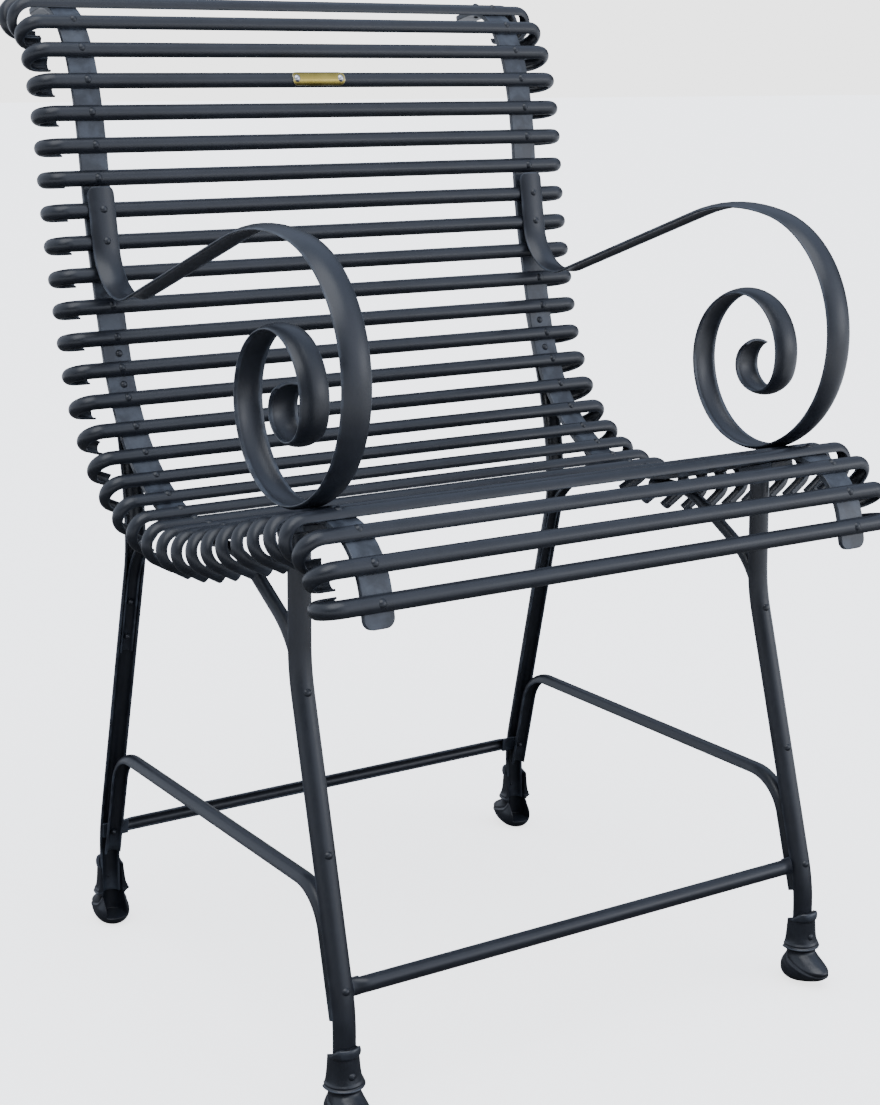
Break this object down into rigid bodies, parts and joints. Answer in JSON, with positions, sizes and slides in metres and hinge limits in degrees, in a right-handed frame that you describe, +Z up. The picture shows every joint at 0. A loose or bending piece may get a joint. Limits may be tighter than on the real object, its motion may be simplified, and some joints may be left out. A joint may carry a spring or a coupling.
{
  "type": "garden armchair",
  "caption": "Garden armchair of bent half-round iron bar: slatted seat and rolled back in one sweep, open scroll arms, splayed legs with hoof feet.",
  "frame": {"origin": "on the ground, under the middle of the chair's overall box", "axes": "+Z up, the sitter faces -Y, +X across the chair; left and right in the node names are as seen from the front, so left is -X"},
  "size_m": [0.5598, 0.6082, 0.8744],
  "materials": {
    "painted_iron": "satin black paint on half-round iron bar, worn slightly pale on its edges",
    "painted_casting": "satin black paint on a rough casting",
    "brass": "bare brass, lightly tarnished"
  },
  "bodies": {
    "root": {"arm_left": "painted_iron", "arm_right": "painted_iron", "arm_rivets": "painted_iron", "brass_plate": "brass", "foot_front_left": "painted_casting", "foot_front_right": "painted_casting", "foot_rear_left": "painted_casting", "foot_rear_right": "painted_casting", "foot_screws": "painted_iron", "frame_rivets": "painted_iron", "front_brace_left": "painted_iron", "front_brace_right": "painted_iron", "front_cross_stretcher": "painted_iron", "front_leg_left": "painted_iron", "front_leg_right": "painted_iron", "plate_screws": "brass", "rear_brace_left": "painted_iron", "rear_brace_right": "painted_iron", "rear_cross_stretcher": "painted_iron", "rear_leg_left": "painted_iron", "rear_leg_right": "painted_iron", "side_rib_left": "painted_iron", "side_rib_right": "painted_iron", "side_stretcher_left": "painted_iron", "side_stretcher_right": "painted_iron", "slat_00": "painted_iron", "slat_01": "painted_iron", "slat_02": "painted_iron", "slat_03": "painted_iron", "slat_04": "painted_iron", "slat_05": "painted_iron", "slat_06": "painted_iron", "slat_07": "painted_iron", "slat_08": "painted_iron", "slat_09": "painted_iron", "slat_10": "painted_iron", "slat_11": "painted_iron", "slat_12": "painted_iron", "slat_13": "painted_iron", "slat_14": "painted_iron", "slat_15": "painted_iron", "slat_16": "painted_iron", "slat_17": "painted_iron", "slat_18": "painted_iron", "slat_19": "painted_iron", "slat_20": "painted_iron", "slat_21": "painted_iron", "slat_22": "painted_iron", "slat_23": "painted_iron", "slat_24": "painted_iron", "slat_25": "painted_iron", "slat_26": "painted_iron", "slat_27": "painted_iron", "slat_28": "painted_iron", "slat_29": "painted_iron", "slat_30": "painted_iron", "slat_31": "painted_iron", "slat_32": "painted_iron", "slat_rivets": "painted_iron"}
  },
  "joints": []
}
